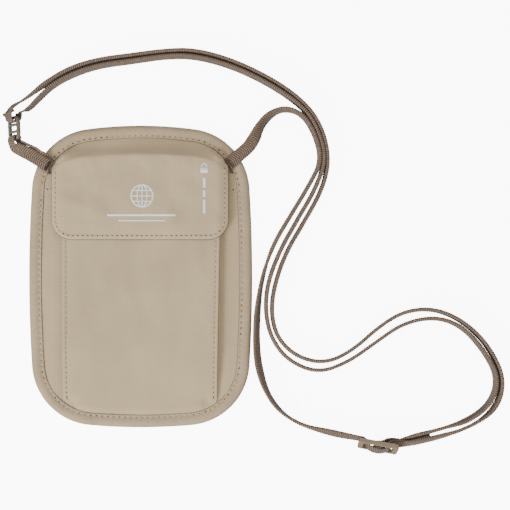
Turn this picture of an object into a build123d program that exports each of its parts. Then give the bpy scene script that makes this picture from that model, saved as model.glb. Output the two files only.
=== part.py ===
from build123d import *
import os
from math import acos, cos, degrees, hypot, radians, sin, tan

# A neck pouch wallet lying on its back. Millimetres. +X is the wearer's left, seen from the front,
# +Y is the pouch's top and +Z comes out of its front. The origin is on the floor, under the middle.

# Outline: a rounded rectangle whose four sides bulge a little, all tangent arcs
HALF_WIDTH = 68.3
HALF_HEIGHT = 92.3
SIDE_RADIUS = 870.0
TOP_RADIUS = 245.0
BOTTOM_RADIUS = 350.0
CORNER_RADIUS = 39.0

# Edge binding, a rolled tape sewn round all layers
BINDING_WIDTH = 8.0
BINDING_THICK = 4.5
BINDING_WALL = 2.5
BINDING_ROUND = 2.0
LIP = 0.6
LAYER_INSET = BINDING_WALL + 0.1
INSIDE_INSET = BINDING_WIDTH + 0.3

# Layers, from the back to the front
BACK_BORDER = 0.6
LINING = 0.2
MAIN_GAP = 1.2
TAPE = 0.4
PANEL = 0.5
GUSSET = 0.4
POCKET_DEPTH = 4.3
POCKET_CLOTH = 0.4
PATCH = 0.5
PATCH_GAP = 0.3
FLAP_LINING = 0.3
FLAP_CLOTH = 0.5

Z_REAR_LINING = LIP + BACK_BORDER
Z_TAPE = Z_REAR_LINING + LINING + MAIN_GAP
Z_PANEL = Z_TAPE + TAPE
Z_GUSSET = Z_PANEL + PANEL
Z_POCKET = Z_GUSSET + POCKET_DEPTH
Z_LOOP = Z_POCKET + POCKET_CLOTH
Z_HOOK = Z_LOOP + PATCH + PATCH_GAP
Z_FLAP_LINING = Z_HOOK + PATCH
Z_FLAP = Z_FLAP_LINING + FLAP_LINING
Z_FLAP_TOP = Z_FLAP + FLAP_CLOTH

# Front pocket: a raised centre panel between two gussets, open at its hemmed top
POCKET_TOP = 62.8
POCKET_BEND = -74.0
POCKET_FOOT = -83.0
POCKET_LEFT = -47.0
POCKET_RIGHT_TOP = 49.0
POCKET_RIGHT_FOOT = 46.6
HEM_HEIGHT = 11.0
HEM_THICK = 0.3

# Zip of the main compartment, along X between the pocket's hem and the flap's fold
ZIP_Y = 67.3
ZIP_HALF = 50.6
TAPE_WIDTH = 5.4
TAPE_SPLIT = 0.8
PANEL_SLOT = 7.6
COIL_HALF_WIDTH = 2.5
COIL_THICK = 1.2
STOP_LENGTH = 1.6
ZIP_SLIDER_X = 46.0
ZIP_SLIDER_LENGTH = 8.0
ZIP_SLIDER_WIDTH = 6.6
ZIP_PLATE = 0.6
ZIP_PLAY = 0.1
PULL_LENGTH = 10.0

# Flap: sewn in under the top of the binding, folding along a straight line
FLAP_HALF_WIDTH = 53.5
FLAP_FOOT = 22.7
FLAP_CORNER = 12.0
FOLD_Y = 71.9
FLAP_END = FOLD_Y - 0.4
ROOT_START = FOLD_Y + 0.4
PATCH_LENGTH = 24.0
PATCH_WIDTH = 14.0
PATCH_Y = 33.0

# Neck strap webbing, which lies on its edge
WEB_WIDTH = 8.0
WEB_THICK = 1.2

# Ladder ring that joins the neck strap to the left loop
RING_CENTRE = Vector(-76.6, 90.1, 6.6)
RING_LONG = Vector(-0.044, 0.999, 0)
RING_TILT = 53.0
RING_LENGTH = 15.0
RING_WIDTH = 13.2
RING_THICK = 2.2
RING_RAIL = 2.3
RING_END_BAR = 2.0
RING_BAR = 1.6
RING_ROUND = 0.5

# Strap slider, a flat frame with a centre bar
SLIDER_CENTRE = (144.7, -103.2, 6.6)
SLIDER_HEADING = -10.4
SLIDER_TILT = 63.0
SLIDER_LENGTH = 24.4
SLIDER_WIDTH = 11.4
SLIDER_THICK = 3.0
SLIDER_RAIL = 1.5
SLIDER_END_BAR = 3.2
SLIDER_CENTRE_BAR = 2.4
SLIDER_CENTRE_THICK = 2.0
SLIDER_REACH = 12.4

# Neck strap routes in plan, from the right anchor round to the slider and the ring
ANCHOR_RIGHT = (54.5, 69.0)
ANCHOR_LEFT = (-53.6, 67.6)
LOOP_TIP = (-64.5, 77.0)
LOOP_START = (-77.0, 78.4)
LINK_THICK = 3.0
LINK_Z = 5.2
SINGLE_ROUTE = [
    (67.5, 80.0), (74.5, 95.5), (86, 103), (98.5, 99.5), (106.5, 86.5), (110.3, 70.5), (103, 56),
    (92, 38), (80.5, 19), (73.5, -2.5), (70.4, -28), (71.2, -55), (79.5, -77), (95, -90),
]
OUTER_ROUTE = [
    (-80, 99.6), (-78.5, 103.5), (-70.5, 108), (-57, 118.5), (-42.5, 127), (-25.5, 132), (-6, 134.5),
    (12.5, 137), (30.5, 138), (50, 133.5), (69.5, 125.5), (89, 114.5), (104, 101.5), (112, 86.5),
    (114.8, 69.5), (110.5, 52.5), (99.5, 33), (88.5, 14.5), (81.5, -5.5), (79.5, -22.5), (83.5, -38),
    (96, -49.5), (113, -53), (129.5, -45), (145.5, -30.5), (161, -21), (179.5, -19.5), (198, -28),
    (212.5, -43), (221.5, -62), (217.5, -80), (201.5, -92), (178, -99),
]
INNER_ROUTE = [
    (-72.8, 100.4), (-68, 102), (-62, 108.5), (-53.5, 116.5), (-41.5, 123), (-25.5, 128.5), (-6, 131),
    (13.5, 134), (30.5, 134.5), (50, 130), (69.5, 122), (88.5, 111), (102, 100), (109.5, 85.5),
    (112.5, 70.5), (107, 54), (95.5, 34.5), (85, 16), (77.5, -3.5), (76, -21), (79.5, -37.5),
    (90, -51.5), (108.5, -59), (127, -52), (143, -40.5), (160, -28.5), (179.5, -24.5), (195.5, -30),
    (208.5, -44), (218, -61), (214, -77), (200, -88), (182, -93.3), (166, -97.6),
]
SEWN_TIP = (176.5, -96.8)


def corner_arcs(end_radius):
    """The side arc's, the end arc's and the corner arc's centres in the quadrant with X and Y above 0."""
    side = Vector(HALF_WIDTH - SIDE_RADIUS, 0)
    end = Vector(0, HALF_HEIGHT - end_radius)
    to_side = SIDE_RADIUS - CORNER_RADIUS
    to_end = end_radius - CORNER_RADIUS
    span = end - side
    along = (to_side**2 - to_end**2 + span.length**2) / (2 * span.length)
    away = (to_side**2 - along**2) ** 0.5
    unit = span.normalized()
    across = Vector(-unit.Y, unit.X)
    corner = side + unit * along + across * away
    return side, end, corner


def outline(inset=0.0):
    """The pouch's outline as a face, moved inwards by inset."""
    edges = []
    for up, end_radius in ((1, TOP_RADIUS), (-1, BOTTOM_RADIUS)):
        side, end, corner = corner_arcs(end_radius)
        to_side = (corner - side).normalized()
        to_end = (corner - end).normalized()
        middle = corner + (to_side + to_end).normalized() * (CORNER_RADIUS - inset)
        low = side + to_side * (SIDE_RADIUS - inset)
        high = end + to_end * (end_radius - inset)
        waist = (HALF_WIDTH - inset, 0)
        between = side + (Vector(waist) - side + low - side).normalized() * (SIDE_RADIUS - inset)
        for right in (1, -1):
            def place(p):
                return (right * p[0], up * p[1])

            edges.append(ThreePointArc(place(waist), place((between.X, between.Y)), place((low.X, low.Y))))
            edges.append(ThreePointArc(place((low.X, low.Y)), place((middle.X, middle.Y)), place((high.X, high.Y))))
        edges.append(ThreePointArc((high.X, up * high.Y), (0, up * (HALF_HEIGHT - inset)), (-high.X, up * high.Y)))
    return make_face(edges)


def layer(inset, low, thick):
    """A layer with the pouch's outline, thick along Z from low."""
    return Pos(0, 0, low) * extrude(outline(inset), thick)


def slab(x0, x1, y0, y1, z0, z1):
    """A box between these coordinates."""
    return Pos((x0 + x1) / 2, (y0 + y1) / 2, (z0 + z1) / 2) * Box(x1 - x0, y1 - y0, z1 - z0)


def prism_x(points, half):
    """Points (y, z) as a face, carried from -half to half along X."""
    face = make_face(Polyline(*[(0, y, z) for y, z in points], close=True))
    return extrude(face, half, dir=(1, 0, 0), both=True)


def prism_z(points, low, high):
    """Points (x, y) as a face, carried along Z from low to high."""
    return Pos(0, 0, low) * extrude(make_face(Polyline(*points, close=True)), high - low)


# Pouch body


def edge_binding():
    whole = extrude(outline(), BINDING_THICK)
    rims = whole.edges().group_by(Axis.Z)
    whole = fillet(rims[0] + rims[-1], BINDING_ROUND)
    slot = layer(BINDING_WALL, LIP, Z_GUSSET + GUSSET - LIP)
    return whole - slot - layer(BINDING_WIDTH, 0, BINDING_THICK)


def back_panel():
    border = layer(LAYER_INSET, LIP, BACK_BORDER)
    pad = layer(INSIDE_INSET, 0, LIP)
    return border + pad


def rfid_lining_rear():
    return layer(LAYER_INSET, Z_REAR_LINING, LINING)


def rfid_lining_front():
    film = layer(LAYER_INSET, Z_TAPE, TAPE)
    edge = TAPE_SPLIT / 2 + TAPE_WIDTH + 0.1
    return film - slab(-HALF_WIDTH, HALF_WIDTH, ZIP_Y - edge, ZIP_Y + edge, 0, Z_FLAP)


def front_panel_lower():
    above = slab(-HALF_WIDTH, HALF_WIDTH, ZIP_Y - PANEL_SLOT / 2, HALF_HEIGHT, 0, Z_FLAP)
    return layer(LAYER_INSET, Z_PANEL, PANEL) - above


def front_panel_upper():
    below = slab(-HALF_WIDTH, HALF_WIDTH, -HALF_HEIGHT, ZIP_Y + PANEL_SLOT / 2, 0, Z_FLAP)
    return layer(LAYER_INSET, Z_PANEL, PANEL) - below


def zip_tape(side):
    near = ZIP_Y + side * TAPE_SPLIT / 2
    far = near + side * TAPE_WIDTH
    strip = slab(-HALF_WIDTH, HALF_WIDTH, min(near, far), max(near, far), Z_TAPE, Z_PANEL)
    return strip & layer(LAYER_INSET, Z_TAPE, TAPE)


def zip_coil(side):
    near = ZIP_Y + side * TAPE_SPLIT / 2
    far = ZIP_Y + side * COIL_HALF_WIDTH
    return slab(-ZIP_HALF, ZIP_HALF, min(near, far), max(near, far), Z_PANEL, Z_PANEL + COIL_THICK)


def zip_end_stops():
    stops = []
    for side in (-1, 1):
        x0, x1 = sorted((side * ZIP_HALF, side * (ZIP_HALF + STOP_LENGTH)))
        stops.append(slab(x0, x1, ZIP_Y - 2.2, ZIP_Y + 2.2, Z_PANEL, Z_PANEL + COIL_THICK + 0.2))
    return Compound(children=stops)


def pocket_right(y):
    """The right edge of the pocket's centre panel, which leans in towards the foot."""
    return POCKET_RIGHT_FOOT + (POCKET_RIGHT_TOP - POCKET_RIGHT_FOOT) * (y - POCKET_BEND) / (POCKET_TOP - POCKET_BEND)


def pocket_panel():
    corners = [
        (POCKET_LEFT, POCKET_BEND), (pocket_right(POCKET_BEND), POCKET_BEND),
        (pocket_right(POCKET_TOP), POCKET_TOP), (POCKET_LEFT, POCKET_TOP),
    ]
    return prism_z(corners, Z_POCKET, Z_LOOP)


def under_pocket():
    """The space between the front panel and the underside of the pocket's cloth."""
    profile = [
        (POCKET_TOP, Z_GUSSET), (POCKET_TOP, Z_POCKET), (POCKET_BEND, Z_POCKET),
        (POCKET_FOOT, Z_GUSSET + GUSSET), (POCKET_FOOT, Z_GUSSET),
    ]
    return prism_x(profile, HALF_WIDTH)


def pocket_gusset(side):
    """A wall under the centre panel's edge and the strip from its foot out to the binding."""
    top, foot = (POCKET_LEFT, POCKET_LEFT) if side < 0 else (pocket_right(POCKET_TOP), pocket_right(POCKET_FOOT))
    inner = [(foot - side * GUSSET, POCKET_FOOT), (top - side * GUSSET, POCKET_TOP)]
    wall = prism_z([(foot, POCKET_FOOT), *inner, (top, POCKET_TOP)], Z_GUSSET, Z_POCKET) & under_pocket()
    rim = [(side * HALF_WIDTH, POCKET_TOP), (side * HALF_WIDTH, POCKET_FOOT)]
    strip = prism_z([*inner, *rim], Z_GUSSET, Z_GUSSET + GUSSET)
    return (wall & layer(INSIDE_INSET, Z_GUSSET, POCKET_DEPTH)) + (strip & layer(LAYER_INSET, Z_GUSSET, GUSSET))


def pocket_bottom():
    """The slope from the centre panel's foot down to the binding, and the strip sewn in under it."""
    profile = [
        (POCKET_BEND, Z_LOOP), (POCKET_BEND, Z_POCKET), (POCKET_FOOT, Z_GUSSET + GUSSET),
        (POCKET_FOOT, Z_GUSSET), (POCKET_FOOT - 1, Z_GUSSET), (POCKET_FOOT - 1, Z_GUSSET + GUSSET),
        (POCKET_FOOT, Z_GUSSET + 2 * GUSSET),
    ]
    slope = prism_x(profile, HALF_WIDTH) & layer(INSIDE_INSET, Z_GUSSET, 2 * POCKET_DEPTH)
    sewn = slab(-HALF_WIDTH, HALF_WIDTH, -HALF_HEIGHT, POCKET_FOOT, Z_GUSSET, Z_GUSSET + GUSSET)
    between = slab(POCKET_LEFT, pocket_right(POCKET_FOOT), -HALF_HEIGHT, 0, 0, Z_FLAP)
    return (slope + (sewn & layer(LAYER_INSET, Z_GUSSET, GUSSET))) & between


def pocket_hem():
    foot = POCKET_TOP - HEM_HEIGHT
    middle = slab(POCKET_LEFT, pocket_right(foot), foot, POCKET_TOP, Z_LOOP, Z_LOOP + HEM_THICK)
    low = Z_GUSSET + GUSSET
    sides = [
        slab(-HALF_WIDTH, POCKET_LEFT - 1, foot, POCKET_TOP, low, low + HEM_THICK),
        slab(POCKET_RIGHT_TOP + 1, HALF_WIDTH, foot, POCKET_TOP, low, low + HEM_THICK),
    ]
    inside = layer(INSIDE_INSET, low, HEM_THICK)
    return Compound(children=[middle, *[side & inside for side in sides]])


def patch(low):
    """One half of the hook-and-loop fastener, a rounded rectangle."""
    return Pos(0, PATCH_Y, low) * extrude(RectangleRounded(PATCH_LENGTH, PATCH_WIDTH, 1.5), PATCH)


def flap_root():
    """The part of the flap above its fold: it slopes down to the seam and runs in under the binding."""
    seam = HALF_HEIGHT - INSIDE_INSET
    slope = prism_x(
        [
            (ROOT_START, Z_FLAP_LINING), (ROOT_START, Z_FLAP_TOP), (ROOT_START + 3, Z_FLAP_TOP - 1),
            (seam, Z_GUSSET + GUSSET), (seam, Z_GUSSET), (seam - 1, Z_GUSSET), (ROOT_START + 2, Z_FLAP_LINING - 1),
        ],
        FLAP_HALF_WIDTH,
    )
    sewn = layer(LAYER_INSET, Z_GUSSET, GUSSET) - layer(INSIDE_INSET + 1, Z_GUSSET, GUSSET)
    sewn -= slab(-HALF_WIDTH, HALF_WIDTH, -HALF_HEIGHT, ROOT_START + 2, 0, Z_FLAP)
    return (slope & layer(INSIDE_INSET, Z_GUSSET, 2 * POCKET_DEPTH)) + sewn


# Flap body


def flap_sheet(low, thick, inset):
    """The moving part of the flap, with its two lower corners rounded."""
    half = FLAP_HALF_WIDTH - inset
    foot = FLAP_FOOT + inset
    face = make_face(Polyline((-half, FLAP_END), (-half, foot), (half, foot), (half, FLAP_END), close=True))
    face = fillet(face.vertices().group_by(Axis.Y)[0], FLAP_CORNER - inset)
    return Pos(0, 0, low) * extrude(face, thick)


# Zip slider and its pull


def zip_slider():
    half, wide = ZIP_SLIDER_LENGTH / 2, ZIP_SLIDER_WIDTH / 2
    top = Z_PANEL + COIL_THICK + ZIP_PLAY
    plate = fillet(Box(ZIP_SLIDER_LENGTH, ZIP_SLIDER_WIDTH, ZIP_PLATE).edges().filter_by(Axis.Z), 1.5)
    upper = Pos(0, 0, top + ZIP_PLATE / 2) * plate
    lower = Pos(0, 0, Z_TAPE - ZIP_PLAY - ZIP_PLATE / 2) * plate
    wedge = slab(half - 2.6, half - 0.4, -0.3, 0.3, Z_TAPE - ZIP_PLAY, top)
    body = upper + lower + wedge
    for side in (-1, 1):
        inner, outer = sorted((side * (wide - 0.6), side * wide))
        body += slab(-half + 1.5, half - 1.5, inner, outer, Z_PANEL + ZIP_PLAY, top)
    roof = top + ZIP_PLATE
    crown = slab(-2.5, 2.5, -0.8, 0.8, roof, roof + 1.5)
    crown = fillet(crown.edges().filter_by(Axis.Y).group_by(Axis.Z)[-1], 0.7)
    crown -= slab(-1.6, 1.6, -0.8, 0.8, roof, roof + 0.95)
    return Pos(ZIP_SLIDER_X, ZIP_Y, 0) * (body + crown)


PULL_PIN_Z = Z_PANEL + COIL_THICK + ZIP_PLAY + ZIP_PLATE + 0.475


def zip_pull():
    """A flat tab with a round pin across the slider's crown. It lies towards -X."""
    pin = Pos(0, 0, PULL_PIN_Z) * Rot(90, 0, 0) * Cylinder(0.4, 4.0)
    low, high = PULL_PIN_Z - 0.33, PULL_PIN_Z + 0.33
    tab = slab(-PULL_LENGTH, 0.4, -2.0, 2.0, low, high)
    tab = fillet(tab.edges().filter_by(Axis.Z).group_by(Axis.X)[0], 1.6)
    tab -= slab(-3.2, 0.4, -1.15, 1.15, low, high)
    tab -= Pos(-PULL_LENGTH + 2.2, 0, PULL_PIN_Z) * Cylinder(0.8, 2.0)
    return Pos(ZIP_SLIDER_X, ZIP_Y, 0) * (tab + pin)


# Neck strap and its fittings


def plan(direction):
    """The direction's angle in plan, in degrees."""
    turn = degrees(acos(max(-1.0, min(1.0, direction.X / direction.length))))
    return turn if direction.Y >= 0 else -turn


def fitting_plane(centre, heading, tilt):
    """A plane whose X is heading in plan and whose normal is the webbing's width, tilt above the floor."""
    along = Vector(cos(radians(heading)), sin(radians(heading)), 0)
    across = Vector(-along.Y, along.X, 0)
    return along, Vector(across.X * cos(radians(tilt)), across.Y * cos(radians(tilt)), sin(radians(tilt)))


def slider_plane():
    along, width = fitting_plane(SLIDER_CENTRE, SLIDER_HEADING, SLIDER_TILT)
    return Plane(origin=SLIDER_CENTRE, x_dir=along, z_dir=width)


def ring_plane():
    width = Vector(cos(radians(RING_TILT)), 0, sin(radians(RING_TILT)))
    width = (width - RING_LONG * width.dot(RING_LONG)).normalized()
    return Plane(origin=RING_CENTRE, x_dir=RING_LONG, z_dir=width)


def corner_radii(points, share=0.45):
    """One radius for each corner of a route: share of its shorter run over the tangent of half the turn."""
    radii = []
    for before, here, after in zip(points, points[1:], points[2:]):
        one, two = Vector(here) - Vector(before), Vector(after) - Vector(here)
        radii.append(share * min(one.length, two.length) / tan(radians(one.get_angle(two) / 2)))
    return radii


def route(name, points):
    """A route of straight runs and tangent arcs, whose radii it prints."""
    radii = corner_radii(points)
    path = FilletPolyline(*points, radius=radii)
    print(name, "length", round(path.length, 1), "radii", [round(r) for r in radii])
    return path


def standing_strap(path):
    """Webbing on its edge on the floor along a path in plan."""
    strip = extrude(trace(path, WEB_THICK), WEB_WIDTH)
    ratio = strip.volume / (path.length * WEB_THICK * WEB_WIDTH)
    print("  volume over section times length", round(ratio, 3))
    return strip


def folded_strap(plane, points, radius):
    """Webbing that follows points in a fitting's plane, its width along the plane's normal."""
    path = FilletPolyline(*points, radius=radius)
    return plane * (Pos(0, 0, -WEB_WIDTH / 2) * extrude(trace(path, WEB_THICK), WEB_WIDTH))


def at_slider(along, out):
    """A point in plan beside the slider: along the strap, and out from its front face."""
    plane = slider_plane()
    spot = plane.from_local_coords((along, -out, 0))
    return (spot.X, spot.Y)


THROUGH_OUT = -2.9
SEWN_OUT = -4.3
RETURN_OUT = -5.7


def flat_tab(start, end, low, thick):
    """Webbing that lies flat over the binding from start to end."""
    run = Vector(end) - Vector(start)
    middle = (Vector(start) + Vector(end)) * 0.5
    return Pos(middle.X, middle.Y, low + thick / 2) * Rot(0, 0, plan(run)) * Box(run.length, WEB_WIDTH, thick)


def neck_strap_single():
    """From the right anchor over the binding, then on its edge to the strap slider."""
    tail = [at_slider(-SLIDER_REACH - 14, THROUGH_OUT), at_slider(-SLIDER_REACH, THROUGH_OUT)]
    strip = standing_strap(route("neck_strap_single", SINGLE_ROUTE + tail))
    tab = flat_tab(ANCHOR_RIGHT, SINGLE_ROUTE[0], BINDING_THICK, WEB_THICK)
    return strip + tab


def strap_through_slider():
    points = [
        (-SLIDER_REACH, -THROUGH_OUT), (-8.2, -THROUGH_OUT), (-3.6, -3.5), (2.6, -3.5),
        (8.2, -THROUGH_OUT), (SLIDER_REACH, -THROUGH_OUT),
    ]
    return folded_strap(slider_plane(), points, [1.5, 1.5, 1.5, 1.5])


def neck_strap_outer():
    """From the ring's top window round to the strap slider, through which it joins the single run."""
    return standing_strap(route("neck_strap_outer", OUTER_ROUTE + [at_slider(SLIDER_REACH, THROUGH_OUT)]))


def neck_strap_inner():
    """From the ring's top window back to the strap slider, where its end is sewn round the centre bar."""
    return standing_strap(route("neck_strap_inner", INNER_ROUTE + [at_slider(SLIDER_REACH, RETURN_OUT)]))


def strap_ring_bend():
    """The strap's turn round the ring's top bar, between its outer and inner runs."""
    bar = RING_LENGTH / 2 - RING_END_BAR / 2
    out, turn = 2.9, bar - 2.1
    points = [(bar + 3.0, out), (turn, out), (turn, -out), (bar + 3.0, -out)]
    return folded_strap(ring_plane(), points, [1.5, 1.5])


def strap_sewn_end():
    """The strap's end: round the slider's centre bar and back along the inner run, where it is stitched."""
    points = [
        (SLIDER_REACH, -SEWN_OUT), (7.0, -SEWN_OUT), (1.6, -2.0), (-2.2, -2.0), (-2.2, 2.0),
        (1.2, 2.0), (6.0, -RETURN_OUT), (SLIDER_REACH, -RETURN_OUT),
    ]
    fold = folded_strap(slider_plane(), points, [1.2, 0.9, 1.1, 1.1, 0.9, 1.2])
    end = [at_slider(SLIDER_REACH, SEWN_OUT), (168, -99.0), SEWN_TIP]
    return fold + standing_strap(route("strap_sewn_end", end))


def ladder_ring():
    """An oblong frame with rounded ends and two cross bars, so three windows."""
    frame = RectangleRounded(RING_LENGTH, RING_WIDTH, 5.0)
    inner_length = RING_LENGTH - 2 * RING_END_BAR
    inner_width = RING_WIDTH - 2 * RING_RAIL
    frame -= RectangleRounded(inner_length, inner_width, 1.0)
    gap = (inner_length - 2 * RING_BAR) / 3
    for side in (-1, 1):
        frame += Pos(side * (gap + RING_BAR) / 2, 0) * Rectangle(RING_BAR, inner_width + 0.4)
    solid = Pos(0, 0, -RING_THICK / 2) * extrude(frame, RING_THICK)
    solid = fillet(solid.edges().group_by(Axis.Z)[0] + solid.edges().group_by(Axis.Z)[-1], RING_ROUND)
    return ring_plane() * Rot(-90, 0, 0) * solid


def ring_loop():
    """The left anchor: doubled webbing over the binding and round the ring's bottom bar."""
    bar = -RING_LENGTH / 2 + RING_END_BAR / 2
    out, turn = 2.4, bar + 2.1
    points = [(bar - 4.5, out), (turn, out), (turn, -out), (bar - 4.5, -out)]
    bend = folded_strap(ring_plane(), points, [1.4, 1.4])
    tab = flat_tab(ANCHOR_LEFT, LOOP_TIP, BINDING_THICK, 2 * WEB_THICK)
    run = Vector(LOOP_TIP) - Vector(LOOP_START)
    middle = (Vector(LOOP_TIP) + Vector(LOOP_START)) * 0.5
    link = Pos(middle.X, middle.Y, LINK_Z) * Rot(0, 0, plan(run)) * Box(run.length, LINK_THICK, WEB_WIDTH)
    return bend + tab + link


def strap_bartacks():
    """The dense stitched bars that hold the webbing at both upper corners."""
    bars = []
    for spot, aim, layers in ((ANCHOR_LEFT, LOOP_TIP, 2), (ANCHOR_RIGHT, SINGLE_ROUTE[0], 1)):
        turn = plan(Vector(aim) - Vector(spot))
        shape = Pos(1.2, 0, 0) * Box(1.6, WEB_WIDTH - 1, 0.3)
        bars.append(Pos(*spot, BINDING_THICK + layers * WEB_THICK + 0.15) * Rot(0, 0, turn) * shape)
    return Compound(children=bars)


def strap_slider():
    frame = RectangleRounded(SLIDER_LENGTH, SLIDER_WIDTH, 1.5)
    hole = RectangleRounded(SLIDER_LENGTH - 2 * SLIDER_END_BAR, SLIDER_WIDTH - 2 * SLIDER_RAIL, 0.6)
    solid = Pos(0, 0, -SLIDER_THICK / 2) * extrude(frame - hole, SLIDER_THICK)
    solid = chamfer(solid.edges().group_by(Axis.Z)[0] + solid.edges().group_by(Axis.Z)[-1], 0.3)
    bar = Box(SLIDER_CENTRE_BAR, SLIDER_WIDTH - 2 * SLIDER_RAIL + 0.4, SLIDER_CENTRE_THICK)
    return slider_plane() * Rot(-90, 0, 0) * (solid + bar)


NODES = {
    "edge_binding": edge_binding,
    "back_panel": back_panel,
    "rfid_lining_rear": rfid_lining_rear,
    "rfid_lining_front": rfid_lining_front,
    "front_panel_lower": front_panel_lower,
    "front_panel_upper": front_panel_upper,
    "zip_tape_lower": lambda: zip_tape(-1),
    "zip_tape_upper": lambda: zip_tape(1),
    "zip_coil_lower": lambda: zip_coil(-1),
    "zip_coil_upper": lambda: zip_coil(1),
    "zip_end_stops": zip_end_stops,
    "pocket_panel": pocket_panel,
    "pocket_gusset_left": lambda: pocket_gusset(-1),
    "pocket_gusset_right": lambda: pocket_gusset(1),
    "pocket_bottom": pocket_bottom,
    "pocket_hem": pocket_hem,
    "loop_patch": lambda: patch(Z_LOOP),
    "flap_root": flap_root,
    "flap_outer": lambda: flap_sheet(Z_FLAP, FLAP_CLOTH, 0),
    "flap_lining": lambda: flap_sheet(Z_FLAP_LINING, FLAP_LINING, 1),
    "hook_patch": lambda: patch(Z_HOOK),
    "zip_slider": zip_slider,
    "zip_pull": zip_pull,
    "strap_bartacks": strap_bartacks,
    "ring_loop": ring_loop,
    "ladder_ring": ladder_ring,
    "neck_strap_single": neck_strap_single,
    "strap_through_slider": strap_through_slider,
    "neck_strap_outer": neck_strap_outer,
    "strap_ring_bend": strap_ring_bend,
    "neck_strap_inner": neck_strap_inner,
    "strap_sewn_end": strap_sewn_end,
    "strap_slider": strap_slider,
}

os.makedirs("parts", exist_ok=True)
for node, make in NODES.items():
    export_step(make(), f"parts/{node}.step")
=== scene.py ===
"""A neck pouch wallet on its back, with its strap in loose loops on a pale floor.

Every length in this file is in millimetres and is turned into metres where a mesh is made.
"""
import math

import bmesh
import bpy
import numpy as np
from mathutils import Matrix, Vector, noise


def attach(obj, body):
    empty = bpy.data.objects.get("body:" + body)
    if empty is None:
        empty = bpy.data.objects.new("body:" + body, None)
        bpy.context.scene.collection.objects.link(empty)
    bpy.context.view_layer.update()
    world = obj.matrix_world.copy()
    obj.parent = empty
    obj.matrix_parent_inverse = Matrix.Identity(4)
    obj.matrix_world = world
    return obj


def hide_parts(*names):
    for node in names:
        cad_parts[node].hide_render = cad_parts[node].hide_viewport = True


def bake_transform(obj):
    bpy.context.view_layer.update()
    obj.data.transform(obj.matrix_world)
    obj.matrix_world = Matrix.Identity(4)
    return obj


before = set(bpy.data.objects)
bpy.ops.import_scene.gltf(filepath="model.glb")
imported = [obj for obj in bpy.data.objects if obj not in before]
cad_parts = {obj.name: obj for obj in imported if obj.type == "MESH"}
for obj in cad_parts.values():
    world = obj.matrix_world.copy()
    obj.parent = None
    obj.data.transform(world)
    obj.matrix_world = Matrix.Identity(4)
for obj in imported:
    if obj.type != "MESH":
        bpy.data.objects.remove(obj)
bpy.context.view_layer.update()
MM = 0.001

# The pouch, as its CAD has it
HALF_WIDTH, HALF_HEIGHT = 68.3, 92.3
SIDE_RADIUS, TOP_RADIUS, BOTTOM_RADIUS, CORNER_RADIUS = 870.0, 245.0, 350.0, 39.0
BINDING_WIDTH = 8.0
STITCH_INSET = 6.4
STRIP_TOP = 3.95
PANEL_TOP = 8.25
FLAP_TOP = 10.3
FLAP_THICK = 0.8
POCKET_MOUTH, POCKET_BEND = 62.8, -74.0
POCKET_LEFT, POCKET_RIGHT_TOP, POCKET_RIGHT_FOOT = -47.0, 49.0, 46.6
HEM_FOOT = 51.8
FLAP_HALF, FLAP_FOOT, FLAP_CORNER, FOLD_Y, FOLD_Z = 53.5, 22.7, 12.0, 71.9, 10.4
ZIP_Y, ZIP_HALF, COIL_LOW = 67.3, 50.6, 3.5
WEB_WIDTH, WEB_THICK = 8.0, 1.2

# The webbing's ribs, and how much thicker its free runs are, as a share
RIB_PITCH, RIB_DEPTH, LOFT = 1.32, 0.14, 0.85
# How far the cloths' points reach before they are cut to the outline
CLOTH_HALF, CLOTH_END = 66.0, 88.5


# Small helpers


def smooth(t):
    """An even step from 0 to 1 as t goes from 0 to 1."""
    t = min(1.0, max(0.0, t))
    return t * t * (3 - 2 * t)


def ripple(x, y, size, seed=0.0):
    """Soft noise from -1 to 1, with bumps about size across."""
    return noise.noise(Vector((x / size, y / size, seed * 7.3 + 0.5)))


def hump(t, width):
    return math.exp(-((t / width) ** 2))


def arc(centre, radius, start, end, step):
    """Points of an arc with their outward normals, without its last point."""
    count = max(2, round(abs(end - start) * radius / step))
    turns = [start + (end - start) * i / count for i in range(count)]
    return [
        ((centre[0] + radius * math.cos(a), centre[1] + radius * math.sin(a)), (math.cos(a), math.sin(a)))
        for a in turns
    ]


def corner_centre(end_radius):
    """The centre of the corner arc that touches the side's arc and the end's arc."""
    side = Vector((HALF_WIDTH - SIDE_RADIUS, 0))
    end = Vector((0, HALF_HEIGHT - end_radius))
    to_side, to_end = SIDE_RADIUS - CORNER_RADIUS, end_radius - CORNER_RADIUS
    span = end - side
    along = (to_side**2 - to_end**2 + span.length**2) / (2 * span.length)
    away = math.sqrt(to_side**2 - along**2)
    unit = span.normalized()
    return side, end, side + unit * along + Vector((-unit.y, unit.x)) * away


def quadrant(end_radius, step):
    """The outline from the middle of the right side up to the middle of the end."""
    side, end, corner = corner_centre(end_radius)
    low = math.atan2(corner.y - side.y, corner.x - side.x)
    high = math.atan2(corner.y - end.y, corner.x - end.x)
    return (
        arc(side, SIDE_RADIUS, 0, low, step)
        + arc(corner, CORNER_RADIUS, low, high, step)
        + arc(end, end_radius, high, math.pi / 2, step)
        + [((0, HALF_HEIGHT), (0, 1))]
    )


def rim(step):
    """The pouch's outline, anticlockwise from the middle of the right side: points and outward normals."""
    top = quadrant(TOP_RADIUS, step)
    bottom = quadrant(BOTTOM_RADIUS, step)

    def turned(part, sx, sy):
        return [((sx * p[0], sy * p[1]), (sx * n[0], sy * n[1])) for p, n in part]

    upper = top[:-1] + turned(top, -1, 1)[::-1][:-1]
    lower = turned(bottom, -1, -1)[:-1] + turned(bottom, 1, -1)[::-1][:-1]
    whole = upper + lower
    return np.array([p for p, _ in whole]), np.array([n for _, n in whole])


RIM, RIM_OUT = rim(0.9)
RIM_RUN = np.concatenate([[0], np.cumsum(np.linalg.norm(np.diff(RIM, axis=0), axis=1))])


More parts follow.
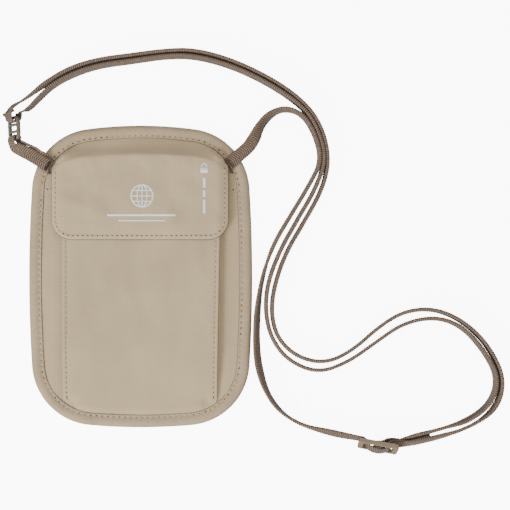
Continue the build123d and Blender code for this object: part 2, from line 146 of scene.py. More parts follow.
def edge_distance(x, y, inset=BINDING_WIDTH):
    """How far a point lies inside the outline moved in by inset."""
    gap = RIM - (x, y)
    i = int(np.argmin((gap * gap).sum(axis=1)))
    return float(gap[i] @ RIM_OUT[i]) - inset, i


def cut(low, high, inset, half=1000.0, more=0.0):
    """A cloth's cut between two heights of the outline moved in by inset: its width and length, and its area.

    more is extra width that is taken up by pleats. All are in metres."""
    edge = RIM - RIM_OUT * inset
    right = edge[edge[:, 0] > 0]
    right = right[np.argsort(right[:, 1])]
    ys = np.arange(low, min(high, right[-1, 1]), 0.5)
    wide = 2 * np.minimum(np.interp(ys, right[:, 1], right[:, 0]), half) + more
    return (float(wide.max()) * MM, float(ys[-1] - ys[0]) * MM), float(wide.sum() * 0.5) * MM * MM


def make_mesh(name, verts, faces, material, picks=None):
    """A mesh piece from points in millimetres. material is one, or a list that picks chooses from."""
    mesh = bpy.data.meshes.new(name)
    mesh.from_pydata([(x * MM, y * MM, z * MM) for x, y, z in verts], [], faces)
    for one in material if isinstance(material, list) else [material]:
        mesh.materials.append(one)
    if picks is not None:
        mesh.polygons.foreach_set("material_index", picks)
    mesh.polygons.foreach_set("use_smooth", [True] * len(mesh.polygons))
    piece = bpy.data.objects.new(name, mesh)
    bpy.context.collection.objects.link(piece)
    clean(mesh)
    return piece


def clean(mesh):
    bm = bmesh.new()
    bm.from_mesh(mesh)
    bmesh.ops.remove_doubles(bm, verts=bm.verts, dist=1e-6)
    bmesh.ops.recalc_face_normals(bm, faces=bm.faces)
    bm.to_mesh(mesh)
    bm.free()


def cloth_grid(name, rows, materials, thick, bound=5.0, shaded_columns=(), flare=0.0):
    """A sheet through rows of points, cut to the outline moved in by bound, and given its thickness.

    The columns in shaded_columns take the second material, which is painted shade."""
    count = len(rows[0])
    verts, inside, picks = [], [], []
    for row in rows:
        for x, y, z in row:
            depth, i = edge_distance(x, y, bound)
            inside.append(depth > 0)
            if depth < 0:
                x, y = x + RIM_OUT[i][0] * depth, y + RIM_OUT[i][1] * depth
            verts.append((x, y, z))
    faces = []
    for r in range(len(rows) - 1):
        for c in range(count - 1):
            quad = (r * count + c, r * count + c + 1, (r + 1) * count + c + 1, (r + 1) * count + c)
            if any(inside[v] for v in quad):
                faces.append(quad)
                picks.append(int(c in shaded_columns))
    used = sorted({v for f in faces for v in f})
    place = {v: i for i, v in enumerate(used)}
    faces = [tuple(place[v] for v in f) for f in faces]
    return thickened(name, [verts[v] for v in used], faces, materials, thick, picks=picks, flare=flare)


def thickened(name, verts, faces, materials, thick, down=True, picks=None, flare=0.0):
    """A piece with verts as its outer face and a second face thick under it.

    The first material is the outer face's and the last the inner's. With a flare, the inner face is that much
    larger all round, and the turned edge between them takes the second material, which the flap gives as
    painted shade."""
    mesh = bpy.data.meshes.new(name + "_skin")
    mesh.from_pydata(verts, [], faces)
    if picks is not None:
        mesh.polygons.foreach_set("material_index", picks)
    bm = bmesh.new()
    bm.from_mesh(mesh)
    bmesh.ops.remove_doubles(bm, verts=bm.verts, dist=1e-3)
    bm.normal_update()
    if sum(f.normal.z * f.calc_area() for f in bm.faces) * (1 if down else -1) < 0:
        bmesh.ops.reverse_faces(bm, faces=bm.faces)
    bm.normal_update()
    outer = [tuple(v.co) for v in bm.verts]
    spread = [Vector((0, 0, 0)) for _ in bm.verts]
    if flare:
        for edge in bm.edges:
            if len(edge.link_faces) == 1:
                a, b = edge.verts
                out = (b.co - a.co).cross(Vector((0, 0, 1))).normalized()
                if out.dot((a.co + b.co) / 2 - edge.link_faces[0].calc_center_median()) < 0:
                    out = -out
                spread[a.index] += out
                spread[b.index] += out
        spread = [out.normalized() * flare for out in spread]
    inner = []
    for v, out in zip(bm.verts, spread):
        under = v.co - (Vector((0, 0, thick)) if out.length > 0 else v.normal * thick)
        inner.append(tuple(under + out))
    tops = [[v.index for v in f.verts] for f in bm.faces]
    outer_picks = [f.material_index for f in bm.faces]
    walls = []
    total = len(outer)
    for edge in bm.edges:
        if len(edge.link_faces) == 1:
            loop = edge.link_loops[0]
            a, b = loop.vert.index, loop.link_loop_next.vert.index
            walls.append((b, a, a + total, b + total))
    bm.free()
    bpy.data.meshes.remove(mesh)
    under = [[v + total for v in reversed(f)] for f in tops]
    picks = outer_picks + [len(materials) - 1] * len(under) + [1 if flare else 0] * len(walls)
    return make_mesh(name, outer + inner, tops + under + walls, materials, picks=picks)


def tube_faces(stations, around, closed):
    faces = []
    for s in range(stations if closed else stations - 1):
        for a in range(around):
            b = (a + 1) % around
            t = (s + 1) % stations
            faces.append((s * around + a, s * around + b, t * around + b, t * around + a))
    if not closed:
        faces += [tuple(range(around))[::-1], tuple((stations - 1) * around + a for a in range(around))]
    return faces


# Materials


class Shade:
    """A node material that is built up by short calls."""

    def __init__(self, name, roughness, metallic=0.0, sheen=0.0, specular=0.5):
        self.material = bpy.data.materials.new(name)
        self.material.use_nodes = True
        self.tree = self.material.node_tree
        self.shader = self.tree.nodes["Principled BSDF"]
        self.shader.inputs["Roughness"].default_value = roughness
        self.shader.inputs["Metallic"].default_value = metallic
        self.shader.inputs["Sheen Weight"].default_value = sheen
        self.shader.inputs["Specular IOR Level"].default_value = specular
        self.spot = None

    def node(self, kind, inputs=(), **settings):
        made = self.tree.nodes.new(kind)
        for key, value in settings.items():
            setattr(made, key, value)
        for key, value in dict(inputs).items():
            if isinstance(value, bpy.types.NodeSocket):
                self.tree.links.new(value, made.inputs[key])
            else:
                made.inputs[key].default_value = value
        return made

    def at(self, kind="Object"):
        return self.node("ShaderNodeTexCoord").outputs[kind]

    def maths(self, operation, one, two=0.0):
        """Any operation of a Math node."""
        return self.node("ShaderNodeMath", {0: one, 1: two}, operation=operation).outputs[0]

    def axis(self, vector, name):
        return self.node("ShaderNodeSeparateXYZ", {0: vector}).outputs[name]

    def wave(self, value, pitch, phase=0.0):
        """A sine of value with that pitch, from 0 to 1."""
        turn = self.maths("MULTIPLY_ADD", value, 2 * math.pi / pitch)
        turn.node.inputs[2].default_value = phase
        sine = self.maths("SINE", turn)
        half = self.maths("MULTIPLY_ADD", sine, 0.5)
        half.node.inputs[2].default_value = 0.5
        return half

    def noise(self, scale, detail=3.0):
        made = self.node("ShaderNodeTexNoise", {"Scale": scale, "Detail": detail, "Vector": self.at()})
        return made.outputs["Fac"]

    def ramp(self, fac, low, high, dark, light):
        made = self.node("ShaderNodeValToRGB", {0: fac})
        ends = made.color_ramp.elements
        ends[0].position, ends[1].position = low, high
        ends[0].color, ends[1].color = (*dark, 1), (*light, 1)
        return made.outputs["Color"]

    def mottled(self, colour, scale, detail, dark, light, spread=0.2):
        """The colour, darker and lighter in soft patches. spread is half the noise's range that is used."""
        patches = self.noise(scale, detail)
        return self.ramp(patches, 0.5 - spread, 0.5 + spread, tint(colour, dark), tint(colour, light))

    def crossed(self, operation, pitch):
        """Waves along X and Y with a pitch in millimetres, joined by a Math operation."""
        at = self.at()
        one, two = [self.wave(self.axis(at, name), pitch * MM) for name in "XY"]
        return self.maths(operation, one, two)

    def mix(self, fac, one, two, blend="MIX"):
        made = self.node("ShaderNodeMix", data_type="RGBA", blend_type=blend)
        for key, value in ((0, fac), (6, one), (7, two)):
            if isinstance(value, bpy.types.NodeSocket):
                self.tree.links.new(value, made.inputs[key])
            else:
                made.inputs[key].default_value = value if key == 0 else (*value, 1)
        return made.outputs[2]

    def colour(self, value):
        self.tree.links.new(value, self.shader.inputs["Base Color"])
        return self

    def bump(self, height, distance, strength=1.0):
        inputs = {"Height": height, "Distance": distance * MM, "Strength": strength}
        if self.spot is not None:
            inputs["Normal"] = self.spot
        self.spot = self.node("ShaderNodeBump", inputs).outputs[0]
        self.tree.links.new(self.spot, self.shader.inputs["Normal"])
        return self


WHITE = (1.0, 1.0, 1.0)


def tint(colour, factor):
    return tuple(c * factor for c in colour)


def cloth(name, colour, pitch=2.1, grid=0.13):
    """Ripstop nylon: a fine plain weave with a raised grid of thicker yarns."""
    s = Shade(name, roughness=0.72, sheen=0.25, specular=0.35)
    lines = s.maths("POWER", s.crossed("MAXIMUM", pitch), 10.0)
    weave = s.crossed("MULTIPLY", 0.6)
    tone = s.mottled(colour, 38.0, 4.0, 0.93, 1.05)
    yarn = s.mottled(WHITE, 900.0, 2.0, 0.94, 1.05, spread=0.25)
    tone = s.mix(0.6, tone, yarn, "MULTIPLY")
    tone = s.mix(s.maths("MULTIPLY", lines, grid), tone, tint(colour, 0.62))
    s.colour(tone)
    s.bump(lines, 0.05, 0.6).bump(weave, 0.05, 0.5).bump(s.noise(160.0, 4.0), 0.25, 0.35)
    return s.material


def tape(name, colour):
    """Densely woven binding tape."""
    s = Shade(name, roughness=0.78, sheen=0.2, specular=0.3)
    weave = s.crossed("MULTIPLY", 0.75)
    tone = s.mottled(colour, 60.0, 4.0, 0.90, 1.06)
    fleck = s.mottled(WHITE, 700.0, 3.0, 0.90, 1.08)
    s.colour(s.mix(0.7, tone, fleck, "MULTIPLY"))
    s.bump(weave, 0.08, 0.6).bump(s.noise(260.0, 4.0), 0.3, 0.45)
    return s.material


def webbing_material(name, dark, light):
    """Ribbed webbing, with painted shade in its rib grooves and a painted highlight on its edges; its map
    runs along the strap in U and across it in V, both in millimetres.
    """
    s = Shade(name, roughness=0.7, sheen=0.25, specular=0.35)
    at = s.at("UV")
    along, across = s.axis(at, "X"), s.axis(at, "Y")
    slant = s.maths("ABSOLUTE", s.maths("SUBTRACT", across, WEB_WIDTH / 2))
    rib = s.wave(s.maths("ADD", along, s.maths("MULTIPLY", slant, 0.33)), RIB_PITCH, math.pi / 2)
    cords = s.wave(across, 1.0)
    edge = s.maths("POWER", s.maths("DIVIDE", slant, WEB_WIDTH / 2), 6.0)
    # Painted shade and highlight: dark in the grooves between ribs, light on their crests
    tone = s.ramp(rib, 0.10, 0.75, dark, light)
    # Painted highlight: the webbing's edges are lighter
    tone = s.mix(s.maths("MULTIPLY", edge, 0.10), tone, tint(light, 1.05))
    fleck = s.ramp(s.noise(650.0, 3.0), 0.3, 0.7, (0.70, 0.68, 0.66), (1.28, 1.26, 1.24))
    s.colour(s.mix(0.8, tone, fleck, "MULTIPLY"))
    s.bump(rib, 0.12, 0.8).bump(cords, 0.05, 0.5)
    return s.material


def plastic(name, colour, roughness=0.42):
    """Moulded plastic with a faint satin texture."""
    s = Shade(name, roughness=roughness, specular=0.5)
    s.colour(s.mottled(colour, 180.0, 4.0, 0.92, 1.06))
    s.bump(s.noise(2600.0, 2.0), 0.02, 0.5)
    return s.material


def thread_material(name, colour):
    s = Shade(name, roughness=0.6, sheen=0.2, specular=0.4)
    s.colour(s.mottled(colour, 1500.0, 2.0, 0.82, 1.1))
    s.bump(s.noise(2400.0, 1.0), 0.05, 0.6)
    return s.material


def pile(name, colour, scale):
    """Hook or loop pile: a coarse speckle of painted highlight and shade, which also drives its bump."""
    s = Shade(name, roughness=0.9, sheen=0.5, specular=0.2)
    speck_relief_and_painted_light = s.noise(scale, 2.0)
    # Painted highlight and shade: the speckle is lighter and darker than the pile's colour
    s.colour(s.ramp(speck_relief_and_painted_light, 0.35, 0.65, tint(colour, 0.6), tint(colour, 1.2)))
    s.bump(speck_relief_and_painted_light, 0.35, 0.9)
    return s.material


def painted_metal(name, colour):
    s = Shade(name, roughness=0.35, metallic=0.85)
    s.colour(s.mottled(colour, 420.0, 3.0, 0.85, 1.1))
    s.bump(s.noise(900.0, 2.0), 0.02, 0.5)
    return s.material


RIPSTOP = cloth("ripstop", (0.545, 0.415, 0.248))
# Painted light: the flap's ripstop is the same cloth tinted lighter for the light on it
LIT_FLAP_RIPSTOP = cloth("flap_ripstop_lit", (0.572, 0.435, 0.260))
# Painted shade: the front panels' ripstop is the same cloth tinted darker, for the shade under the pocket and
# flap
SHADED_PANEL_RIPSTOP = cloth("panel_ripstop_shaded", (0.510, 0.385, 0.230))
BACK_CLOTH = cloth("back_ripstop", (0.440, 0.370, 0.285), pitch=3.2, grid=0.25)
LINING = cloth("lining", (0.36, 0.31, 0.25), pitch=1.2, grid=0.05)
FOIL = cloth("foil_lining", (0.40, 0.40, 0.41), pitch=1.6, grid=0.2)
BINDING = tape("binding_tape", (0.480, 0.366, 0.224))
# Painted shade: a near black brown for the binding's turned edge, the pleats' feet and the flap's edge, where
# shade falls
FOLD_SHADE = tape("turned_fold_shade", (0.130, 0.090, 0.050))
ZIP_TAPE = tape("zip_tape_weave", (0.36, 0.30, 0.225))
# The dark colour is painted shade for the rib grooves, the light one the lit crests
WEBBING = webbing_material("webbing", (0.048, 0.030, 0.019), (0.250, 0.172, 0.118))
RING_PLASTIC = plastic("ring_plastic", (0.165, 0.142, 0.098))
SLIDER_PLASTIC = plastic("slider_plastic", (0.290, 0.215, 0.138))
THREAD = thread_material("seam_thread", (0.60, 0.49, 0.35))
# Painted shade: the needle holes are coloured near black for the shade inside them
NEEDLE_HOLE_SHADE = thread_material("needle_hole_shade", (0.085, 0.058, 0.034))
BARTACK = thread_material("bartack_thread", (0.055, 0.036, 0.024))
PRINT = thread_material("pale_print", (0.97, 0.96, 0.96))
LOOP_PILE = pile("loop_pile", (0.38, 0.32, 0.25), 1500.0)
HOOK_PILE = pile("hook_pile", (0.34, 0.29, 0.23), 900.0)
COIL_NYLON = plastic("zip_coil_nylon", (0.33, 0.27, 0.20), 0.5)
ZIP_METAL = painted_metal("zip_paint", (0.30, 0.26, 0.21))

# Camera and stage

camera = bpy.data.objects.new("camera", bpy.data.cameras.new("camera"))
camera.data.lens, camera.data.sensor_width = 100.0, 36.0
camera.location = (0.0698, 0.0131, 0.868)
bpy.context.collection.objects.link(camera)
bpy.context.scene.camera = camera

# Neck strap

ANCHOR_RIGHT = Vector((53.4, 67.9, 5.75))
# A free run stands nearly on edge: how far it leans, in degrees, and how high its middle is then
LEAN, RUN_HEIGHT = 82.0, 4.05
RING_CENTRE = Vector((-76.6, 90.1, 6.6))
RING_LONG = Vector((-0.044, 0.999, 0)).normalized()
RING_TILT = math.radians(53)
SLIDER_CENTRE = Vector((144.7, -103.2, 6.6))
SLIDER_HEADING, SLIDER_TILT = math.radians(-10.4), math.radians(63)

SLIDER_LONG = Vector((math.cos(SLIDER_HEADING), math.sin(SLIDER_HEADING), 0))
SLIDER_WIDE = Vector(
    (-SLIDER_LONG.y * math.cos(SLIDER_TILT), SLIDER_LONG.x * math.cos(SLIDER_TILT), math.sin(SLIDER_TILT))
)
SLIDER_BACK = SLIDER_WIDE.cross(SLIDER_LONG)
RING_WIDE = Vector((math.cos(RING_TILT), 0, math.sin(RING_TILT)))
RING_WIDE = (RING_WIDE - RING_LONG * RING_WIDE.dot(RING_LONG)).normalized()
RING_FRONT = RING_WIDE.cross(RING_LONG)


def by_slider(along, back):
    """A place on the strap at the slider, along it and behind its middle."""
    return (*(SLIDER_CENTRE + SLIDER_LONG * along + SLIDER_BACK * back), SLIDER_WIDE)


def by_ring(along, front):
    """A place on the strap at the ring, along it and in front of its middle."""
    return (*(RING_CENTRE + RING_LONG * along + RING_FRONT * front), RING_WIDE)


# Places on each route: x and y, and where it isn't a free run, its height and its lean in degrees
SINGLE_ROUTE = [
    (53.4, 67.9, 5.75, 0), (55.5, 69.8, 5.8, 0), (60, 73.8, 5.85, 4), (67.5, 80, 5.4, 14),
    (74.5, 95.5, 4.3, 58), (86, 103, 4.05, 76), (98.5, 99.5), (106.5, 86.5), (110.3, 70.5), (103, 56),
    (92, 38), (80.5, 19), (73.5, -2.5, 4.05, 100), (70.4, -28, 4.05, 112), (71.2, -55, 4.05, 116),
    (79.5, -77, 4.05, 100), (95, -90),
]
OUTER_ROUTE = [
    (-80, 99.6, 6.6, 126), (-78.5, 103.5, 5.4, 112), (-70.5, 108, 4.1, 97), (-57, 118.5),
    (-42.5, 127), (-25.5, 132), (-6, 134.5),
    (12.5, 137), (30.5, 138), (50, 133.5), (69.5, 125.5), (89, 114.5), (104, 101.5), (112, 86.5),
    (114.8, 69.5), (110.5, 52.5), (99.5, 33), (88.5, 14.5), (81.5, -5.5), (79.5, -22.5), (83.5, -38),
    (96, -49.5), (113, -53), (129.5, -45), (145.5, -30.5), (161, -21), (179.5, -19.5), (198, -28),
    (212.5, -43), (221.5, -62), (217.5, -80), (201.5, -92, 4.1, 98), (178, -99, 4.3, 112),
]
INNER_ROUTE = [
    (-72.8, 100.4, 4.4, 100), (-68, 102), (-62, 108.5), (-53.5, 116.5), (-41.5, 123), (-25.5, 128.5),
    (-6, 131),
    (13.5, 134), (30.5, 134.5), (50, 130), (69.5, 122), (88.5, 111), (102, 100), (109.5, 85.5),
    (112.5, 70.5), (107, 54), (95.5, 34.5), (85, 16), (77.5, -3.5), (76, -21), (79.5, -37.5),
    (90, -51.5), (108.5, -59), (127, -52), (143, -40.5), (160, -28.5), (179.5, -24.5), (195.5, -30),
    (208.5, -44), (218, -61), (214, -77), (200, -88), (182, -93.3, 4.1, 100), (166, -97.6, 4.2, 112),
]


def leaned(route):
    """Each place of a route with its height and the webbing's width direction there."""
    places = []
    for i, spot in enumerate(route):
        if len(spot) == 4 and isinstance(spot[3], Vector):
            places.append(spot)
            continue
        x, y = spot[:2]
        z = spot[2] if len(spot) > 2 else RUN_HEIGHT
        lean = math.radians(spot[3] if len(spot) > 3 else LEAN)
        before, after = route[max(0, i - 1)], route[min(len(route) - 1, i + 1)]
        run = Vector((after[0] - before[0], after[1] - before[1], 0)).normalized()
        left = Vector((-run.y, run.x, 0))
        places.append((x, y, z, left * math.cos(lean) + Vector((0, 0, math.sin(lean)))))
    return places


def nurbs_line(name, places):
    """The smooth line whose control points are the places, as points in millimetres."""
    curve = bpy.data.curves.new(name, "CURVE")
    curve.dimensions = "3D"
    curve.resolution_u = 48
    spline = curve.splines.new("NURBS")
    spline.points.add(len(places) - 1)
    for point, place in zip(spline.points, places):
        point.co = (place[0] * MM, place[1] * MM, place[2] * MM, 1)
    spline.order_u = 3
    spline.use_endpoint_u = True
    holder = bpy.data.objects.new(name, curve)
    bpy.context.collection.objects.link(holder)
    mesh = bpy.data.meshes.new_from_object(holder)
    line = [v.co / MM for v in mesh.vertices]
    bpy.data.objects.remove(holder)
    bpy.data.curves.remove(curve)
    bpy.data.meshes.remove(mesh)
    return line


# The webbing's rounded and faintly grooved section, in halves of its width and of its thickness
WEB_SECTION = [
    (-1, -0.35), (-0.9, -0.85), (-0.6, -1), (-0.2, -0.94), (0.2, -0.94), (0.6, -1), (0.9, -0.85), (1, -0.35),
    (1, 0.35), (0.9, 0.85), (0.6, 1), (0.2, 0.94), (-0.2, 0.94), (-0.6, 1), (-0.9, 0.85), (-1, 0.35),
]


def place_at(knot, spans):
    """The place, as a fractional index, that the line is nearest to at a knot."""
    if knot <= 0.5:
        at = knot * 2
    elif knot < spans - 0.5:
        at = knot + 0.5
    else:
        at = spans + 1 - (spans - knot) * 2
    return min(max(at, 0), spans + 1)


def ribbon(name, places, loft=LOFT):
    """Webbing along the places' smooth line, with its ribs as geometry and a map in millimetres.

    It has its plain thickness at the fittings and is thicker by loft, as a share, on its free runs."""
    line = nurbs_line(name + "_line", places)
    runs = [0.0]
    for a, b in zip(line, line[1:]):
        runs.append(runs[-1] + (b - a).length)
    length = runs[-1]
    # Even stations, three to a rib
    count = int(length / (RIB_PITCH / 3))
    path, widths = [], []
    spans = len(places) - 2
    j = 0
    for k in range(count + 1):
        want = length * k / count
        while j < len(runs) - 2 and runs[j + 1] < want:
            j += 1
        t = (want - runs[j]) / max(1e-9, runs[j + 1] - runs[j])
        path.append(line[j].lerp(line[j + 1], t))
        at = place_at((j + t) / (len(line) - 1) * spans, spans)
        low = min(int(at), len(places) - 2)
        widths.append(places[low][3].lerp(places[low + 1][3], smooth(at - low)))
    half, thick = WEB_WIDTH / 2, WEB_THICK / 2
    section = [(u * half, v * thick) for u, v in WEB_SECTION]
    verts = []
    for k, (point, wide) in enumerate(zip(path, widths)):
        ahead = (path[min(count, k + 1)] - path[max(0, k - 1)]).normalized()
        wide = (wide - ahead * wide.dot(ahead)).normalized()
        flat = ahead.cross(wide)
        rib = 1.0 + RIB_DEPTH * math.cos(2 * math.pi * length * k / count / RIB_PITCH)
        near = min((point - fitting).length for fitting in (RING_CENTRE, SLIDER_CENTRE, ANCHOR_RIGHT))
        rib *= 1.0 + loft * smooth((near - 10) / 16)
        ring = [point + wide * u + flat * v * rib for u, v in section]
        # It never sinks into the floor
        lift = max(0.0, 0.03 - min(p.z for p in ring))
        verts += [(p.x, p.y, p.z + lift) for p in ring]
    around = len(section)
    piece = make_mesh(name, verts, tube_faces(count + 1, around, False), WEBBING)
    layer = piece.data.uv_layers.new(name="webbing_map")
    for polygon in piece.data.polygons:
        for loop in polygon.loop_indices:
            v = piece.data.loops[loop].vertex_index
            layer.data[loop].uv = (length * (v // around) / count, section[v % around][0] + half)
    return piece, [tuple(p * MM) for p in path], length * MM


through = [by_slider(-26.4, 2.9), by_slider(-12.4, 2.9), by_slider(-8.6, 2.9), by_slider(-5.2, -3.0),
           by_slider(4.4, -3.0), by_slider(8.6, 2.9), by_slider(12.4, 2.9)]
# The outer strand is run from the slider back to the ring, so its lean is turned over
outer_back = []
for spot in OUTER_ROUTE[::-1]:
    z, lean = spot[2:] or (RUN_HEIGHT, LEAN)
    outer_back.append((*spot[:2], z, 180 - lean))
ring_turn = [by_ring(9.5, 3.4), by_ring(4.0, 3.7), by_ring(4.0, -3.7), by_ring(9.5, -3.4)]
neck_strap, strap_path, strap_length = ribbon(
    "neck_strap", leaned(SINGLE_ROUTE + through + outer_back + ring_turn)
)
return_run, return_path, return_length = ribbon(
    "neck_strap_return", leaned([by_ring(9.5, -3.4)] + INNER_ROUTE + [by_slider(12.4, 5.7)])
)
sewn_end, _, _ = ribbon(
    "strap_sewn_end_fold",
    leaned([(176.5, -96.8, 4.6, 74), (168, -99.0, 4.8, 70), by_slider(12.4, 4.3), by_slider(7.0, 4.3),
            by_slider(1.6, -2.0), by_slider(-2.2, -2.0), by_slider(-2.2, 2.0), by_slider(1.2, 2.0),
            by_slider(6.0, 5.7), by_slider(12.4, 5.7)]),
    loft=0,
)
left_loop, _, _ = ribbon(
    "left_strap_loop",
    leaned([(-54.6, 66.4, 6.9, 180), (-57.5, 68.3, 7.2, 180), (-62.5, 71.6, 7.2, 176),
            (-69.0, 75.3, 6.9, 168), (-75.5, 78.0, 6.9, 150),
            by_ring(-9.6, 2.6), by_ring(-4.4, 2.4), by_ring(-4.4, -2.4), by_ring(-8.0, -2.4),
            (-68.0, 80.6, 5.0, 84), (-62.0, 75.2, 5.6, 55), (-57.5, 70.6, 5.75, 8), (-54.8, 67.6, 5.7, 0)]),
    loft=0,
)
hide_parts("neck_strap_single", "strap_through_slider", "neck_strap_outer", "strap_ring_bend")
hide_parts("neck_strap_inner")
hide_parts("strap_sewn_end")
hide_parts("ring_loop")
for piece in (neck_strap, return_run, sewn_end, left_loop):
    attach(piece, "pouch")


# Stitches


def walk(points, pitch):
    """Even places along a line in plan, with their directions."""
    steps = [math.dist(a, b) for a, b in zip(points, points[1:])]
    total = sum(steps)
    count = max(1, round(total / pitch))
    places, j, done = [], 0, 0.0
    for k in range(count):
        want = total * (k + 0.5) / count
        while j < len(steps) - 1 and done + steps[j] < want:
            done += steps[j]
            j += 1
        t = (want - done) / max(steps[j], 1e-9)
        a, b = points[j], points[j + 1]
        run = ((b[0] - a[0]) / max(steps[j], 1e-9), (b[1] - a[1]) / max(steps[j], 1e-9))
        places.append(((a[0] + (b[0] - a[0]) * t, a[1] + (b[1] - a[1]) * t), run))
    return places, total / count


# Places along a stitch, as a share of its length, and how thick it is there
STITCH_SHAPE = ((-0.5, 0.25), (-0.36, 0.8), (0.0, 1.0), (0.36, 0.8), (0.5, 0.25))


def stitches(name, body, lines, pitch, hole, thread=0.55):
    """Thread and needle holes along lines. Each line is its points in plan and a height function."""
    bead, hole_sides = 6, 8
    verts, faces, picks = [], [], []
    for points, height in lines:
        places, gap = walk(points, pitch)
        for (x, y), (dx, dy) in places:
            stretch = gap * 0.62
            base = len(verts)
            for s, size in STITCH_SHAPE:
                cx, cy = x + dx * stretch * s, y + dy * stretch * s
                cz = height(cx, cy) + 0.04 + thread * 0.32 * math.cos(s * math.pi)
                for a in range(bead):
                    turn = 2 * math.pi * a / bead
                    side, up = math.cos(turn) * thread / 2 * size, math.sin(turn) * thread / 2.6 * size
                    verts.append((cx - dy * side, cy + dx * side, cz + up))
            made = tube_faces(len(STITCH_SHAPE), bead, False)
            faces += [tuple(v + base for v in f) for f in made]
            picks += [0] * len(made)
            # Each needle hole is a small pit in the painted shade colour
            hx, hy = x + dx * gap / 2, y + dy * gap / 2
            hz = height(hx, hy)
            base = len(verts)
            verts.append((hx, hy, hz + 0.16))
            for a in range(hole_sides):
                turn = 2 * math.pi * a / hole_sides
                verts.append((hx + hole * math.cos(turn), hy + hole * math.sin(turn), hz + 0.04))
            verts.append((hx, hy, hz - 0.25))
            for a in range(hole_sides):
                b = (a + 1) % hole_sides
                faces.append((base, base + 1 + a, base + 1 + b))
                faces.append((base + hole_sides + 1, base + 1 + b, base + 1 + a))
                picks += [1, 1]
    piece = make_mesh(name, verts, faces, [THREAD, NEEDLE_HOLE_SHADE], picks=picks)
    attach(piece, body)
    return piece


# Edge binding: a tape rolled over all the layers and sewn through

# From its front edge over the rim to its back edge, and back along its inside: distance from the rim, height
BINDING_SECTION = [
    (8.0, 4.05), (7.72, 4.36), (7.35, 4.52), (6.95, 4.42), (STITCH_INSET, 4.18), (5.9, 4.42), (5.0, 4.78),
    (3.9, 4.95), (2.8, 4.92), (1.8, 4.62), (1.0, 4.05), (0.4, 3.3), (0.08, 2.5), (0.08, 1.8), (0.45, 1.05),
    (1.1, 0.5), (2.0, 0.15), (3.2, 0.02), (5.0, 0.0), (6.6, 0.08), (7.6, 0.04), (8.0, 0.25), (8.0, 0.62),
    (2.9, 0.62), (2.9, 3.88), (8.0, 3.88),
]
BINDING_FRONT = 12
BINDING_PITCH = 3.5


def binding_lift(inset, run, x, y):
    """How far the binding's top stands over its plain section: gathers at the stitches, and soft lumps."""
    top = smooth((inset - 0.4) / 1.5)
    gather = -0.16 * math.cos(2 * math.pi * run / BINDING_PITCH) * hump(inset - STITCH_INSET, 1.6)
    lumps = 0.20 * ripple(x, y, 14, 1) + 0.12 * ripple(x, y, 5, 2)
    return top * (gather + lumps)


def binding_top(x, y):
    depth, i = edge_distance(x, y, 0)
    section = BINDING_SECTION[:BINDING_FRONT]
    z = section[0][1]
    for (a, za), (b, zb) in zip(section, section[1:]):
        if b <= depth <= a:
            z = zb + (za - zb) * (depth - b) / (a - b)
    return z + binding_lift(depth, RIM_RUN[i], *RIM[i])


def edge_binding():
    verts = []
    for (px, py), (nx, ny), run in zip(RIM, RIM_OUT, RIM_RUN):
        for k, (inset, z) in enumerate(BINDING_SECTION):
            wobble = 0.12 * ripple(px + 40, py, 9, 3) if inset > 7.7 and z > 3.9 else 0.0
            x, y = px - nx * (inset + wobble), py - ny * (inset + wobble)
            lift = binding_lift(inset, run, px, py) if 1 <= k <= BINDING_FRONT else 0.0
            verts.append((x, y, z + lift))
    faces = tube_faces(len(RIM), len(BINDING_SECTION), True)
    # The first face of each section is the turned edge, coloured with painted shade
    shade_faces = [int(i % len(BINDING_SECTION) == 0) for i in range(len(faces))]
    piece = make_mesh("edge_binding_tape", verts, faces, [BINDING, FOLD_SHADE], picks=shade_faces)
    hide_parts("edge_binding")
    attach(piece, "pouch")


edge_binding()
seam = [tuple(p - n * STITCH_INSET) for p, n in zip(RIM, RIM_OUT)]
stitches("binding_stitches", "pouch", [(seam + seam[:1], binding_top)], pitch=BINDING_PITCH, hole=0.62)

# Front pocket: a raised panel over two pleated gussets, one sheet with the strips beside it

PLEAT_SEAM = 2.1
HEM_SEAM_Y = HEM_FOOT + 1.2


def pocket_side(y):
    t = (y - POCKET_BEND) / (POCKET_MOUTH - POCKET_BEND)
    return POCKET_RIGHT_FOOT + (POCKET_RIGHT_TOP - POCKET_RIGHT_FOOT) * t


def panel_height(x, y, inwards):
    """The raised panel's top, inwards from its nearer pleat."""
    near = hump(inwards - PLEAT_SEAM, 0.7)
    z = PANEL_TOP - 0.26 * near - 0.10 * near * math.cos(2 * math.pi * y / 3.1)
    z += 0.16 * hump(inwards - 0.9, 0.8)
    soft = smooth(inwards / 8)
    wrinkles = 1.15 * ripple(x, y * 0.45, 24, 4) + 0.50 * ripple(x, y * 0.5, 9, 5)
    z += soft * (wrinkles - 0.25 * smooth((inwards - 6) / 25))
    return z + 0.3 * smooth((y - HEM_FOOT) / 0.8) * smooth((POCKET_MOUTH - y) / 0.5)


def strip_height(x, y, side):
    """The flat strip between a pleat and the binding."""
    pleat = abs(x - (POCKET_LEFT if side < 0 else pocket_side(y)))
    z = STRIP_TOP + 0.16 * ripple(x, y, 12, 6) + 0.10 * ripple(x, y, 5, 7)
    z += 0.30 * hump(pleat - 5.5, 2.6) - 0.12
    return z + 0.22 * smooth((y - HEM_FOOT) / 0.6)


def lowered(z, x, y):
    """A height that comes down to the strips near the binding."""
    depth, _ = edge_distance(x, y)
    fullness = 0.30 + 0.70 * smooth((y + 84) / 46)
    return STRIP_TOP + (z - STRIP_TOP) * fullness * smooth((depth + 0.9) / 4.5)


def pocket_top(x, y):
    inwards = min(x - POCKET_LEFT, pocket_side(y) - x)
    if inwards < 0:
        return strip_height(x, y, -1 if x < 0 else 1)
    return lowered(panel_height(x, y, inwards), x, y)


